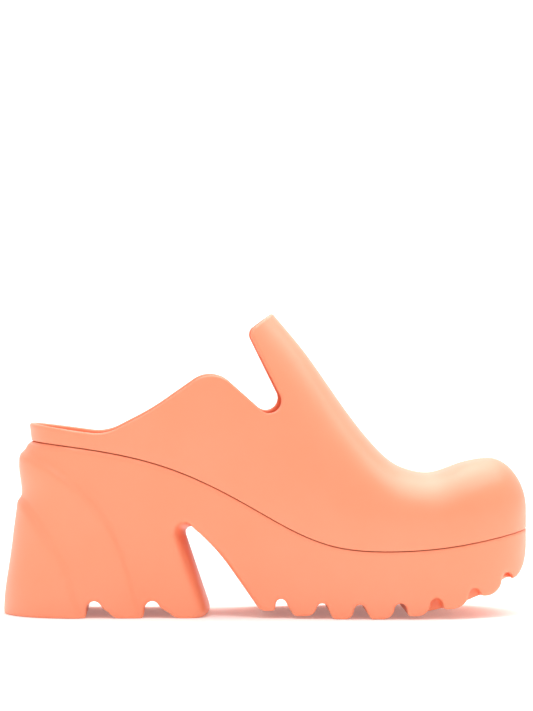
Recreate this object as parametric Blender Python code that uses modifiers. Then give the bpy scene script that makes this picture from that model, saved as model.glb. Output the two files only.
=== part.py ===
# Platform mule, moulded in rubber: one right shoe standing on its sole.
# Toe towards +X, up is +Z, the outer (lateral) side towards -Y, metres.
# The origin is on the floor, in the middle of the shoe's box.
import math

import bmesh
import bpy
import numpy as np

# Lengths and widths of the last, which the upper and the sole both follow
LAST_LENGTH = 0.2598
BALL_WIDTH = 0.0985
SEAT_WIDTH = 0.0630
HEEL_ROUND = 0.0280
TOE_ROUND = 0.0470
TOE_NOSE = 0.0210
FEATHER_TUCK = 0.0006

# Heights above the floor, rises above the seam at the ball, and the rises of the wing and of
# the heel strip above the seam right under them
SEAT_HEIGHT = 0.0901
PLATFORM_HEIGHT = 0.0346
TOE_LIFT = 0.0096
TOE_BOX_RISE = 0.0463
TONGUE_RISE = 0.1220
WING_RISE = 0.0600
HEEL_STRIP = 0.0087

# Walls, plates and the clearance that parts meet with
UPPER_WALL = 0.0030
INSOLE_THICKNESS = 0.0030
CLEARANCE = 0.0003

# Rounded corners of the collar's outline
DIP_RADIUS = 0.0250
SIDE_RADIUS = 0.1200
WING_RADIUS = 0.0140
SLOT_RADIUS = 0.0065
TONGUE_RADIUS = 0.0035

# Heel: how far its foot stands out behind and beside the seat
HEEL_BACK_FLARE = 0.0104
HEEL_SIDE_FLARE = 0.0045
SHINGLE_STEP = 0.0015
HEEL_FRONT = 0.0950
HEEL_FRONT_LEAN = 0.0235
HEEL_FRONT_CROWN = 0.0135
HEEL_FOOT_BEVEL = 0.0040

# Arch: the open gap between the heel and the forefoot, whose two straight sides would
# meet at ARCH_TOP above the floor
ARCH_RADIUS = 0.0054
ARCH_EDGE_FLARE = 0.0030
ARCH_TOP = 0.0730
FOREFOOT_LEAN = 0.0070

# Tread
NOTCH_WIDTH = 0.0060
NOTCH_DEPTH = 0.0077
HEEL_NOTCH_WIDTH = 0.0080
HEEL_NOTCH_DEPTH = 0.0088
TREAD_LIFT = 0.0191
TOE_UNDERCUT_HEIGHT = 0.0210

RUBBER_COLOUR = "FFA382"
INSOLE_COLOUR = "F79B7C"
RUBBER_ROUGHNESS = 0.42

# Cutters run this far past what they cut
MARGIN = 0.0100


def table(header, *rows):
    """A table of shares, as one list for each named column."""
    return dict(zip(header.split(), (list(column) for column in zip(*rows))))


# The sections of the last from the seat's back (0) to the toe tip (1).
# lateral, medial: 0 is the seat's half width and 1 the ball's.
# box, instep: the ridge line, in toe box rises and in what the tongue rises above them.
# level: the height of the widest line above the seam, in toe box rises.
# fullness: the power of the rounded section above that line.
SECTIONS = table(
    "along lateral medial box instep level fullness",
    (0.000, 0.00, 0.00, 1.000, 0.913, 0.11, 2.00),
    (0.126, 0.00, 0.00, 1.000, 1.283, 0.13, 2.00),
    (0.242, 0.08, 0.02, 1.000, 1.468, 0.15, 2.00),
    (0.338, 0.21, 0.09, 1.000, 1.481, 0.18, 2.00),
    (0.415, 0.37, 0.21, 1.000, 1.296, 0.20, 2.00),
    (0.487, 0.54, 0.36, 1.000, 1.000, 0.23, 2.02),
    (0.546, 0.70, 0.51, 1.000, 0.757, 0.25, 2.06),
    (0.619, 0.89, 0.70, 1.000, 0.403, 0.27, 2.15),
    (0.692, 0.98, 0.87, 0.985, 0.092, 0.28, 2.25),
    (0.728, 1.00, 0.93, 0.945, 0.005, 0.28, 2.30),
    (0.764, 1.00, 0.97, 0.864, 0.000, 0.28, 2.32),
    (0.810, 0.98, 1.00, 0.838, 0.000, 0.27, 2.34),
    (0.861, 0.94, 0.99, 0.933, 0.000, 0.26, 2.34),
    (0.923, 0.90, 0.95, 1.004, 0.000, 0.23, 2.30),
    (1.000, 0.85, 0.89, 1.000, 0.000, 0.20, 2.30),
)

# The seam between upper and sole, seen from the side.
# pitch: 0 is the platform's height and 1 the seat's. spring: the rise towards the toe.
SEAM = table(
    "along pitch spring",
    (0.000, 1.000, 0.00),
    (0.088, 0.953, 0.00),
    (0.150, 0.908, 0.00),
    (0.211, 0.849, 0.00),
    (0.273, 0.765, 0.00),
    (0.339, 0.643, 0.00),
    (0.438, 0.405, 0.00),
    (0.530, 0.170, 0.00),
    (0.599, 0.050, 0.00),
    (0.701, 0.000, 0.00),
    (0.769, 0.000, 0.05),
    (0.837, 0.000, 0.24),
    (0.908, 0.000, 0.55),
    (1.000, 0.000, 1.00),
)

# The heel's wall below the seam (0) down to the floor (1), in shares of its two flares
HEEL_WALL = table(
    "down back side",
    (0.000, 0.000, 0.00),
    (0.022, 0.200, 0.16),
    (0.060, 0.350, 0.25),
    (0.130, 0.440, 0.30),
    (0.200, 0.400, 0.34),
    (0.290, 0.300, 0.40),
    (0.440, 0.420, 0.50),
    (0.670, 0.680, 0.72),
    (0.900, 0.960, 0.95),
    (1.000, 1.000, 1.00),
)

# Corners of the collar, seen from the side. along is in last lengths and the height is the
# sum of the shares of the seat's pitch, the heel strip, the wing's rise and the tongue's.
COLLAR = table(
    "along pitch strip wing tongue radius",
    (-0.105, 1.000, 1.38, 0.000, 0.000, 0.0),
    (0.149, 0.912, 0.99, 0.000, 0.000, DIP_RADIUS),
    (0.241, 0.810, 0.00, 0.461, 0.000, SIDE_RADIUS),
    (0.363, 0.585, 0.00, 1.038, 0.000, WING_RADIUS),
    (0.553, 0.000, 0.00, 0.000, 0.420, SLOT_RADIUS),
    (0.434, 0.000, 0.00, 0.000, 0.928, TONGUE_RADIUS),
    (0.588, 0.000, 0.00, 0.000, 1.139, 0.0),
)

# Upper edges of the two curved shingles on the heel: along in last lengths, height in seats
SHINGLES = (
    table(
        "along height",
        (-0.200, 1.020),
        (-0.020, 0.950),
        (0.031, 0.881),
        (0.093, 0.754),
        (0.150, 0.566),
        (0.185, 0.354),
        (0.209, 0.131),
        (0.224, -0.050),
    ),
    table(
        "along height",
        (-0.200, 0.900),
        (-0.030, 0.720),
        (0.007, 0.614),
        (0.045, 0.445),
        (0.077, 0.267),
        (0.096, 0.073),
        (0.106, -0.050),
    ),
)

# Forefoot lugs: the flat foot of each from start to end, its lift off the floor in tread
# lifts, and the middle of the notch in front of it
LUGS = table(
    "start end lift notch",
    (0.471, 0.489, 0.194, 0.499),
    (0.524, 0.546, 0.063, 0.580),
    (0.601, 0.623, 0.000, 0.654),
    (0.676, 0.694, 0.000, 0.734),
    (0.749, 0.764, 0.073, 0.805),
    (0.818, 0.835, 0.267, 0.881),
    (0.895, 0.905, 0.592, 0.951),
    (0.957, 0.961, 1.000, 1.000),
)

# Heel notches: the middle of each, and where the slope behind the next lug reaches the floor
HEEL_NOTCHES = table(
    "middle foot",
    (0.129, 0.176),
    (0.244, 0.298),
)

# The heel's foot reaches furthest back, and the origin lies midway between it and the toe tip
BACK_REACH = HEEL_BACK_FLARE + len(SHINGLES) * SHINGLE_STEP
BACK_X = (BACK_REACH - LAST_LENGTH) / 2
TOE_X = BACK_X + LAST_LENGTH


def spline(tbl, name, along):
    """The smooth curve through a column of a table, read at one place."""
    xs = np.array(tbl[next(iter(tbl))])
    ys = np.array(tbl[name])
    gaps = np.diff(xs)
    slopes = np.diff(ys) / gaps
    matrix = np.eye(len(xs))
    right = np.zeros(len(xs))
    for i in range(1, len(xs) - 1):
        matrix[i, i - 1 : i + 2] = (gaps[i - 1], 2 * (gaps[i - 1] + gaps[i]), gaps[i])
        right[i] = 6 * (slopes[i] - slopes[i - 1])
    bends = np.linalg.solve(matrix, right)
    place = min(max(along, xs[0]), xs[-1])
    i = int(min(np.searchsorted(xs, place, side="right") - 1, len(gaps) - 1))
    near, far, gap = place - xs[i], xs[i + 1] - place, gaps[i]
    curve = (bends[i] * far**3 + bends[i + 1] * near**3) / (6 * gap)
    return float(
        curve
        + (ys[i] / gap - bends[i] * gap / 6) * far
        + (ys[i + 1] / gap - bends[i + 1] * gap / 6) * near
    )


def x_at(along):
    return BACK_X + along * LAST_LENGTH


def round_end(distance, reach):
    """1 inside, falling as a quarter ellipse to 0 over the last stretch before an end."""
    short = max(0.0, 1 - distance / reach)
    return math.sqrt(max(0.0, 1 - short**2))


def seam_height(along):
    return (
        PLATFORM_HEIGHT
        + spline(SEAM, "pitch", along) * (SEAT_HEIGHT - PLATFORM_HEIGHT)
        + spline(SEAM, "spring", along) * TOE_LIFT
    )


def half_width(side, along):
    """Half width of the last at its widest line, on its lateral or medial side."""
    spread = spline(SECTIONS, side, along)
    full = SEAT_WIDTH / 2 + spread * (BALL_WIDTH - SEAT_WIDTH) / 2
    heel = round_end(along * LAST_LENGTH, HEEL_ROUND)
    toe = round_end((1 - along) * LAST_LENGTH, TOE_ROUND)
    return full * heel * toe


def widest_height(along):
    return seam_height(along) + spline(SECTIONS, "level", along) * TOE_BOX_RISE


def ridge_height(along):
    """The last's top line, whose stretch behind the tongue is cut away by the collar."""
    box = spline(SECTIONS, "box", along) * TOE_BOX_RISE
    instep = spline(SECTIONS, "instep", along) * (TONGUE_RISE - TOE_BOX_RISE)
    level = widest_height(along)
    nose = round_end((1 - along) * LAST_LENGTH, TOE_NOSE)
    return level + (PLATFORM_HEIGHT + box + instep - level) * nose


def stations(middle, ends):
    """Places along the last, close together where its two ends round off."""
    heel = HEEL_ROUND / LAST_LENGTH
    toe = TOE_ROUND / LAST_LENGTH
    turn = [math.pi / 2 * i / ends for i in range(ends)]
    back = [heel * (1 - math.cos(angle)) for angle in turn]
    front = [1 - toe * (1 - math.cos(angle)) for angle in turn]
    span = 1 - heel - toe
    body = [heel + span * i / middle for i in range(middle + 1)]
    return back + body + front[::-1]


def colour(code):
    """The linear colour of an sRGB hex code."""
    parts = [int(code[i : i + 2], 16) / 255 for i in (0, 2, 4)]
    return [c / 12.92 if c <= 0.04045 else ((c + 0.055) / 1.055) ** 2.4 for c in parts] + [1]


def material(name, code, roughness):
    made = bpy.data.materials.new(name)
    made.use_nodes = True
    shader = made.node_tree.nodes["Principled BSDF"]
    shader.inputs["Base Color"].default_value = colour(code)
    shader.inputs["Roughness"].default_value = roughness
    shader.inputs["Metallic"].default_value = 0.0
    made.diffuse_color = colour(code)
    return made


def collection(name):
    made = bpy.data.collections.new(name)
    bpy.context.scene.collection.children.link(made)
    return made


def mesh_object(name, bm, where, *materials):
    """An object of this mesh, with its doubles merged and its faces pointing out."""
    bmesh.ops.remove_doubles(bm, verts=bm.verts, dist=1e-5)
    bmesh.ops.recalc_face_normals(bm, faces=bm.faces)
    mesh = bpy.data.meshes.new(name)
    bm.to_mesh(mesh)
    bm.free()
    for slot in materials:
        mesh.materials.append(slot)
    made = bpy.data.objects.new(name, mesh)
    where.objects.link(made)
    return made


def cutter_looks(made):
    made.hide_render = True
    made.display_type = "WIRE"
    return made


def prism(name, outline, half_depth, where, slot=None):
    """A solid of this side-view outline, running across the shoe."""
    data = bpy.data.curves.new(name, "CURVE")
    data.dimensions = "2D"
    data.fill_mode = "BOTH"
    data.extrude = half_depth
    line = data.splines.new("POLY")
    line.points.add(len(outline) - 1)
    for point, (x, z) in zip(line.points, outline):
        point.co = (x, z, 0, 1)
    line.use_cyclic_u = True
    flat = bpy.data.objects.new(name + "_outline", data)
    flat.rotation_euler = (math.pi / 2, 0, 0)
    where.objects.link(flat)
    bpy.context.view_layer.update()
    graph = bpy.context.evaluated_depsgraph_get()
    mesh = bpy.data.meshes.new_from_object(flat.evaluated_get(graph))
    bm = bmesh.new()
    bm.from_mesh(mesh)
    made = mesh_object(name, bm, where, *([slot] if slot else []))
    made.matrix_world = flat.matrix_world
    bpy.data.objects.remove(flat)
    return cutter_looks(made)


def loft(name, rings, where, slots, paired_caps=True):
    """A closed solid through rings of the same number of points. Its caps are strips between
    the paired points of both sides, where the ring isn't flat, or else one face each."""
    bm = bmesh.new()
    grid = [[bm.verts.new(point) for point in ring] for ring in rings]
    count = len(rings[0])
    for ring, following in zip(grid, grid[1:]):
        for i in range(count):
            j = (i + 1) % count
            bm.faces.new((ring[i], ring[j], following[j], following[i]))
    for cap in (grid[0], grid[-1]):
        if not paired_caps:
            bm.faces.new(cap)
            continue
        for i in range(count // 2):
            corners = (cap[i], cap[i + 1], cap[-i - 1], cap[-i])
            bm.faces.new(list(dict.fromkeys(corners)))
    return mesh_object(name, bm, where, *slots)


def boolean(target, cutter, operation="DIFFERENCE"):
    cut = target.modifiers.new(cutter.name, "BOOLEAN")
    cut.operation = operation
    cut.solver = "EXACT"
    cut.material_mode = "TRANSFER"
    cut.object = cutter


def settle(target):
    """Applies the modifiers and clears the short edges that the cuts leave."""
    graph = bpy.context.evaluated_depsgraph_get()
    mesh = bpy.data.meshes.new_from_object(target.evaluated_get(graph))
    target.modifiers.clear()
    target.data = mesh
    bm = bmesh.new()
    bm.from_mesh(mesh)
    bmesh.ops.remove_doubles(bm, verts=bm.verts, dist=2e-5)
    bmesh.ops.dissolve_degenerate(bm, edges=bm.edges, dist=2e-5)
    bm.to_mesh(mesh)
    bm.free()


def rounded(corners, step=math.radians(15)):
    """The outline through (x, z, radius) corners, each rounded by an arc of its radius."""
    points = []
    for i, (x, z, radius) in enumerate(corners):
        if radius == 0:
            points.append((x, z))
            continue
        before, after = corners[i - 1], corners[i + 1]
        start = math.atan2(before[1] - z, before[0] - x)
        end = math.atan2(after[1] - z, after[0] - x)
        opening = (end - start + math.pi) % (2 * math.pi) - math.pi
        bisector = start + opening / 2
        reach = radius / math.sin(abs(opening) / 2)
        cx, cz = x + reach * math.cos(bisector), z + reach * math.sin(bisector)
        turn = math.pi - abs(opening)
        steps = max(2, math.ceil(turn / step))
        for k in range(steps + 1):
            lean = math.copysign(turn, opening) * (0.5 - k / steps)
            angle = bisector + math.pi + lean
            points.append((cx + radius * math.cos(angle), cz + radius * math.sin(angle)))
    return points


def collar_outline():
    """What is cut away above the collar: a line of rounded corners, closed high above."""
    corners = []
    for along, pitch, strip, wing, tongue, radius in zip(*COLLAR.values()):
        height = (
            PLATFORM_HEIGHT
            + pitch * (SEAT_HEIGHT - PLATFORM_HEIGHT)
            + strip * HEEL_STRIP
            + wing * WING_RISE
            + tongue * TONGUE_RISE
        )
        corners.append((x_at(along), height, radius))
    top = PLATFORM_HEIGHT + 2 * TONGUE_RISE
    return rounded(corners) + [(corners[-1][0], top), (corners[0][0], top)]


def last_section(along, widest, floor, above=12, below=2):
    """One section of the last across the shoe, from its lateral foot over to its medial."""
    ridge = ridge_height(along)
    power = 2 / spline(SECTIONS, "fullness", along)
    sides = []
    for side in ("lateral", "medial"):
        width = half_width(side, along)
        points = []
        for i in range(below):
            share = 1 - i / below
            points.append((width - FEATHER_TUCK * share**2 * min(1, width / TOE_ROUND),
                           widest + (floor - widest) * share))
        for i in range(above):
            angle = math.pi / 2 * i / above
            points.append((width * math.cos(angle) ** power,
                           widest + (ridge - widest) * math.sin(angle) ** power))
        sides.append(points)
    x = x_at(along)
    lateral = [(x, -y, z) for y, z in sides[0]]
    medial = [(x, y, z) for y, z in sides[1]]
    return lateral + [(x, 0, ridge)] + medial[::-1]


def build_upper(parts, cutters, rubber):
    opening = material("opening", "FFFFFF", 1.0)
    rings = []
    for along in stations(middle=28, ends=9):
        foot = seam_height(along) - MARGIN
        rings.append(last_section(along, widest_height(along), foot))
    bm = bmesh.new()
    grid = [[bm.verts.new(point) for point in ring] for ring in rings]
    for ring, following in zip(grid, grid[1:]):
        for i in range(len(ring) - 1):
            bm.faces.new((ring[i], ring[i + 1], following[i + 1], following[i]))
        floor = (ring[0], following[0], following[-1], ring[-1])
        bm.faces.new(floor).material_index = 1
    bmesh.ops.remove_doubles(bm, verts=bm.verts, dist=1e-5)
    bmesh.ops.dissolve_degenerate(bm, edges=bm.edges, dist=1e-5)
    upper = mesh_object("upper", bm, parts, rubber, opening)
    collar = prism("collar_cutter", collar_outline(), BALL_WIDTH, cutters, opening)
    boolean(upper, collar)
    settle(upper)

    # Only the outer skin stays, and gets its wall inwards, square to itself at every rim
    open_slots = [i for i, slot in enumerate(upper.data.materials) if slot == opening]
    bm = bmesh.new()
    bm.from_mesh(upper.data)
    gone = [face for face in bm.faces if face.material_index in open_slots]
    bmesh.ops.delete(bm, geom=gone, context="FACES")
    bm.to_mesh(upper.data)
    bm.free()
    wall = upper.modifiers.new("wall", "SOLIDIFY")
    wall.thickness = UPPER_WALL
    wall.offset = -1
    wall.use_even_offset = True

    seam = [(x_at(a), seam_height(a) + CLEARANCE) for a in stations(middle=28, ends=5)]
    low = -MARGIN
    below = [(x_at(-0.1), low), (x_at(-0.1), seam[0][1])] + seam
    below += [(x_at(1.1), seam[-1][1]), (x_at(1.1), low)]
    boolean(upper, prism("feather_cutter", below, BALL_WIDTH, cutters))
    settle(upper)
    upper.data.materials.clear()
    upper.data.materials.append(rubber)
    return upper


def outline(places):
    """The last's outline at the seam, as (along, x, y, outward x, outward y), all the way round."""
    loop = [(a, -half_width("lateral", a)) for a in places]
    loop += [(a, half_width("medial", a)) for a in places[-2:0:-1]]
    tucked = []
    for along, y in loop:
        tuck = FEATHER_TUCK * min(1, abs(y) / TOE_ROUND)
        tucked.append((along, x_at(along), y - math.copysign(tuck, y) if y else 0.0))
    result = []
    for i, (along, x, y) in enumerate(tucked):
        before, after = tucked[i - 1], tucked[(i + 1) % len(tucked)]
        dx, dy = after[1] - before[1], after[2] - before[2]
        size = math.hypot(dx, dy)
        result.append((along, x, y, dy / size, -dx / size))
    return result


def heel_offset(along, down, outward_x):
    """How far the heel's wall stands out from the last's outline."""
    back = spline(HEEL_WALL, "back", down) * HEEL_BACK_FLARE
    side = spline(HEEL_WALL, "side", down) * HEEL_SIDE_FLARE
    facing = max(0.0, -outward_x) ** 2
    fade = min(1.0, max(0.0, (0.47 - along) / 0.20))
    return (side + (back - side) * facing) * fade * fade * (3 - 2 * fade)


def sole_body(name, where, slots, places, downs, proud=0.0):
    """The sole's block: its wall goes down from the seam to below the floor."""
    loop = outline(places)
    rings = []
    for down in downs:
        ring = []
        for along, x, y, nx, ny in loop:
            height = seam_height(along) * (1 - down)
            out = heel_offset(along, min(1.0, down), nx) + proud
            ring.append((x + nx * out, y + ny * out, height))
        rings.append(ring)
    return loft(name, rings, where, slots)


def shingle_region(edge):
    """The side view of the part of the heel that lies behind one shingle's upper edge."""
    reach = edge["along"]
    steps = 22
    line = []
    for i in range(steps + 1):
        along = reach[0] + (reach[-1] - reach[0]) * (1 - (1 - i / steps) ** 1.6)
        line.append((x_at(along), spline(edge, "height", along) * SEAT_HEIGHT))
    return line + [(x_at(reach[-1]), -2 * MARGIN), (x_at(reach[0]), -2 * MARGIN)]


def arch_cutter(cutters):
    """The gap under the arch, wider at both sides so that the heel's front is crowned."""
    foot = x_at(0) + HEEL_FRONT
    heel_half = SEAT_WIDTH / 2 + HEEL_SIDE_FLARE + len(SHINGLES) * SHINGLE_STEP
    rings = []
    for share in (-1.15, -1.0, -0.94, -0.84, -0.68, -0.4, 0, 0.4, 0.68, 0.84, 0.94, 1.0, 1.15):
        across = min(1.0, abs(share))
        flare = 1 - (1 - across**3.5) ** (1 / 3.5)
        back = foot - HEEL_FRONT_CROWN * flare
        edge = ARCH_EDGE_FLARE * flare
        bevelled = back - HEEL_FRONT_LEAN * HEEL_FOOT_BEVEL / ARCH_TOP
        corners = [
            (back - HEEL_FOOT_BEVEL, -MARGIN, 0),
            (back - HEEL_FOOT_BEVEL, 0, 0),
            (bevelled, HEEL_FOOT_BEVEL, 0),
            (back - HEEL_FRONT_LEAN, ARCH_TOP + edge, ARCH_RADIUS),
            (x_at(LUGS["start"][0]) + edge, 0, 0),
            (x_at(LUGS["start"][0]) + edge + FOREFOOT_LEAN, -MARGIN, 0),
        ]
        y = share * heel_half
        rings.append([(x, y, z) for x, z in rounded(corners)])
    return cutter_looks(loft("arch_cutter", rings, cutters, (), paired_caps=False))


def arc(start, end, steps=4):
    """A convex quarter ellipse that leaves start level and reaches end upright."""
    points = []
    for k in range(1, steps + 1):
        angle = math.pi / 2 * k / steps
        points.append((start[0] + (end[0] - start[0]) * math.sin(angle),
                       start[1] + (end[1] - start[1]) * (1 - math.cos(angle))))
    return points


def notch_cap(middle, top, radius, steps=6):
    """The round top of a notch, from its heel side to its toe side."""
    angles = [math.pi * (1 - k / steps) for k in range(steps + 1)]
    return [(middle + radius * math.cos(a), top - radius + radius * math.sin(a)) for a in angles]


def tread_outline():
    """What is cut away under the forefoot: a lug, its rounded toe side and a notch in turn."""
    radius = NOTCH_WIDTH / 2
    lifts = [share * TREAD_LIFT for share in LUGS["lift"]]
    flats = [lift if lift > 0 else -CLEARANCE for lift in lifts]
    first = x_at(LUGS["start"][0])
    points = [(first - MARGIN, -MARGIN), (first - MARGIN, flats[0])]
    for i, notch in enumerate(LUGS["notch"]):
        start, end = x_at(LUGS["start"][i]), x_at(LUGS["end"][i])
        points += [(start, flats[i]), (end, flats[i])]
        if i == len(flats) - 1:
            points += arc(points[-1], (TOE_X, flats[i] + TOE_UNDERCUT_HEIGHT), steps=8)
            break
        top = (lifts[i] + lifts[i + 1]) / 2 + NOTCH_DEPTH
        points += arc(points[-1], (x_at(notch) - radius, top - radius))
        points += notch_cap(x_at(notch), top, radius)[1:]
    beyond = TOE_X + MARGIN
    return points + [(beyond, points[-1][1]), (beyond, -MARGIN)]


def heel_notch_outline(middle, foot, steps=6):
    """A heel notch: upright behind, rounded on top, and easing down to the next lug in front."""
    radius = HEEL_NOTCH_WIDTH / 2
    cap = notch_cap(x_at(middle), HEEL_NOTCH_DEPTH, radius)
    (x, z), end = cap[-1], x_at(foot)
    slope = []
    for k in range(1, steps + 1):
        share = k / steps
        ease = share * share * (3 - 2 * share)
        slope.append((x + (end - x) * share, z - (z + CLEARANCE) * ease))
    return [(cap[0][0], -MARGIN)] + cap + slope + [(end, -MARGIN)]


def build_sole(parts, cutters, rubber):
    downs = (0, 0.012, 0.03, 0.06, 0.12, 0.2, 0.29, 0.44, 0.6, 0.8, 1.0)
    sole = sole_body("sole", parts, (rubber,), stations(middle=26, ends=8), downs + (1.2,))
    heel_places = [a for a in stations(middle=26, ends=8) if a < 0.3]
    for layer, edge in enumerate(SHINGLES, start=1):
        proud = layer * SHINGLE_STEP
        name = f"shingle_{layer}"
        body = cutter_looks(
            sole_body(name, cutters, (rubber,), heel_places, downs + (1.2,), proud)
        )
        region = prism(name + "_region", shingle_region(edge), BALL_WIDTH, cutters)
        boolean(body, region, "INTERSECT")
        boolean(sole, body, "UNION")
    boolean(sole, arch_cutter(cutters))
    tread = prism("tread_cutter", tread_outline(), BALL_WIDTH, cutters)
    boolean(sole, tread)
    for number, (middle, foot) in enumerate(zip(*HEEL_NOTCHES.values()), start=1):
        shape = heel_notch_outline(middle, foot)
        boolean(sole, prism(f"heel_notch_{number}", shape, BALL_WIDTH, cutters))
    reach = LAST_LENGTH
    floor = [(-reach, 0), (reach, 0), (reach, -5 * MARGIN), (-reach, -5 * MARGIN)]
    boolean(sole, prism("floor_cutter", floor, BALL_WIDTH, cutters))
    settle(sole)
    return sole


def build_insole(parts, plate):
    """The footbed: a plate on the sole, inside the upper's wall."""
    inset = UPPER_WALL + 2 * CLEARANCE
    places = stations(middle=22, ends=8)
    loop = outline(places)
    rings = []
    for height in (CLEARANCE, CLEARANCE + INSOLE_THICKNESS):
        ring = []
        for along, x, y, nx, ny in loop:
            inside = x - nx * inset
            where = (inside - BACK_X) / LAST_LENGTH
            ring.append((inside, y - ny * inset, seam_height(where) + height))
        rings.append(ring)
    return loft("insole", rings, parts, (plate,))


for old in list(bpy.data.objects):
    bpy.data.objects.remove(old)

shoe = collection("platform_mule")
tools = collection("cutters")
moulded = material("moulded rubber", RUBBER_COLOUR, RUBBER_ROUGHNESS)
footbed = material("moulded footbed", INSOLE_COLOUR, RUBBER_ROUGHNESS)
build_sole(shoe, tools, moulded)
build_upper(shoe, tools, moulded)
build_insole(shoe, footbed)
for piece in shoe.objects:
    piece.data.shade_smooth()
    piece.data.set_sharp_from_angle(angle=math.radians(35))
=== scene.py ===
# A platform mule moulded in rubber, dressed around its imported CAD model.
import math

import bmesh
import bpy
import numpy as np
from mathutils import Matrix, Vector, kdtree


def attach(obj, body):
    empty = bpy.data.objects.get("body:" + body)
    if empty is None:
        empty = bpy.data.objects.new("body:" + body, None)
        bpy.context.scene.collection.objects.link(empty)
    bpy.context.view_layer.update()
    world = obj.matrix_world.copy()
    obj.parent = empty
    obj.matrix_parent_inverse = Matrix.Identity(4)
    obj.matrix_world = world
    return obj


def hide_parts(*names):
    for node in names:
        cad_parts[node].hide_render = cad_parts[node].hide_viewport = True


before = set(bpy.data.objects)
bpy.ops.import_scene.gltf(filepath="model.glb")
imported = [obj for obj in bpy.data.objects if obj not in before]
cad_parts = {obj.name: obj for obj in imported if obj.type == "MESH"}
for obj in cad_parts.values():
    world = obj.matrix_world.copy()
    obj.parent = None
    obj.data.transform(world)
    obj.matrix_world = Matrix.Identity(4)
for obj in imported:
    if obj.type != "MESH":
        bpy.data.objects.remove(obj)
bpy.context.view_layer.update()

mm = 0.001

# Sizes of the last, as in the part's source
shoe = {
    "lastLength": 0.2598, "ballWidth": 0.0985, "seatWidth": 0.0630,
    "heelRound": 0.0280, "toeRound": 0.0470, "toeNose": 0.0210, "featherTuck": 0.0006,
    "seatHeight": 0.0901, "platformHeight": 0.0346, "toeLift": 0.0096,
    "toeBoxRise": 0.0463, "tongueRise": 0.1220, "wingRise": 0.0600, "heelStrip": 0.0087,
}


def smoothCurve(xs, ys):  # the natural curve through points, read at any places at once
    xs, ys = np.array(xs, float), np.array(ys, float)
    gaps = np.diff(xs)
    slopes = np.diff(ys) / gaps
    matrix, right = np.eye(len(xs)), np.zeros(len(xs))
    for i in range(1, len(xs) - 1):
        matrix[i, i - 1:i + 2] = (gaps[i - 1], 2 * (gaps[i - 1] + gaps[i]), gaps[i])
        right[i] = 6 * (slopes[i] - slopes[i - 1])
    bends = np.linalg.solve(matrix, right)

    def read(places):
        places = np.clip(np.asarray(places, float), xs[0], xs[-1])
        i = np.clip(np.searchsorted(xs, places, side="right") - 1, 0, len(gaps) - 1)
        near, far, gap = places - xs[i], xs[i + 1] - places, gaps[i]
        return ((bends[i] * far**3 + bends[i + 1] * near**3) / (6 * gap)
                + (ys[i] / gap - bends[i] * gap / 6) * far
                + (ys[i + 1] / gap - bends[i + 1] * gap / 6) * near)
    return read


def curves(header, *rows):  # one smooth curve for each named column over the first one
    columns = list(zip(*rows))
    return {name: smoothCurve(columns[0], column)
            for name, column in zip(header.split()[1:], columns[1:])}


sections = curves(
    "along lateral medial box instep level fullness",
    (0.000, 0.00, 0.00, 1.000, 0.913, 0.11, 2.00),
    (0.126, 0.00, 0.00, 1.000, 1.283, 0.13, 2.00),
    (0.242, 0.08, 0.02, 1.000, 1.468, 0.15, 2.00),
    (0.338, 0.21, 0.09, 1.000, 1.481, 0.18, 2.00),
    (0.415, 0.37, 0.21, 1.000, 1.296, 0.20, 2.00),
    (0.487, 0.54, 0.36, 1.000, 1.000, 0.23, 2.02),
    (0.546, 0.70, 0.51, 1.000, 0.757, 0.25, 2.06),
    (0.619, 0.89, 0.70, 1.000, 0.403, 0.27, 2.15),
    (0.692, 0.98, 0.87, 0.985, 0.092, 0.28, 2.25),
    (0.728, 1.00, 0.93, 0.945, 0.005, 0.28, 2.30),
    (0.764, 1.00, 0.97, 0.864, 0.000, 0.28, 2.32),
    (0.810, 0.98, 1.00, 0.838, 0.000, 0.27, 2.34),
    (0.861, 0.94, 0.99, 0.933, 0.000, 0.26, 2.34),
    (0.923, 0.90, 0.95, 1.004, 0.000, 0.23, 2.30),
    (1.000, 0.85, 0.89, 1.000, 0.000, 0.20, 2.30),
)
seam = curves(
    "along pitch spring",
    (0.000, 1.000, 0.00), (0.088, 0.953, 0.00), (0.150, 0.908, 0.00), (0.211, 0.849, 0.00),
    (0.273, 0.765, 0.00), (0.339, 0.643, 0.00), (0.438, 0.405, 0.00), (0.530, 0.170, 0.00),
    (0.599, 0.050, 0.00), (0.701, 0.000, 0.00), (0.769, 0.000, 0.05), (0.837, 0.000, 0.24),
    (0.908, 0.000, 0.55), (1.000, 0.000, 1.00),
)

# The origin lies midway between the heel's foot and the toe tip
backX = (0.0134 - shoe["lastLength"]) / 2


def xAt(along):
    return backX + along * shoe["lastLength"]


def alongAt(x):
    return (x - backX) / shoe["lastLength"]


def roundEnd(distance, reach):  # 1 inside, a quarter ellipse down to 0 at an end
    short = np.maximum(0.0, 1 - distance / reach)
    return np.sqrt(np.maximum(0.0, 1 - short**2))


def ease(share):
    share = np.clip(share, 0.0, 1.0)
    return share * share * (3 - 2 * share)


def seamHeight(along):
    rise = shoe["seatHeight"] - shoe["platformHeight"]
    along = np.clip(along, 0.0, 1.0)
    return (shoe["platformHeight"] + seam["pitch"](along) * rise
            + seam["spring"](along) * shoe["toeLift"])


def halfWidth(side, along):
    spread = sections[side](along)
    full = shoe["seatWidth"] / 2 + spread * (shoe["ballWidth"] - shoe["seatWidth"]) / 2
    heel = roundEnd(along * shoe["lastLength"], shoe["heelRound"])
    toe = roundEnd((1 - along) * shoe["lastLength"], shoe["toeRound"])
    return full * heel * toe


def widestHeight(along):
    return seamHeight(along) + sections["level"](along) * shoe["toeBoxRise"]


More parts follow.
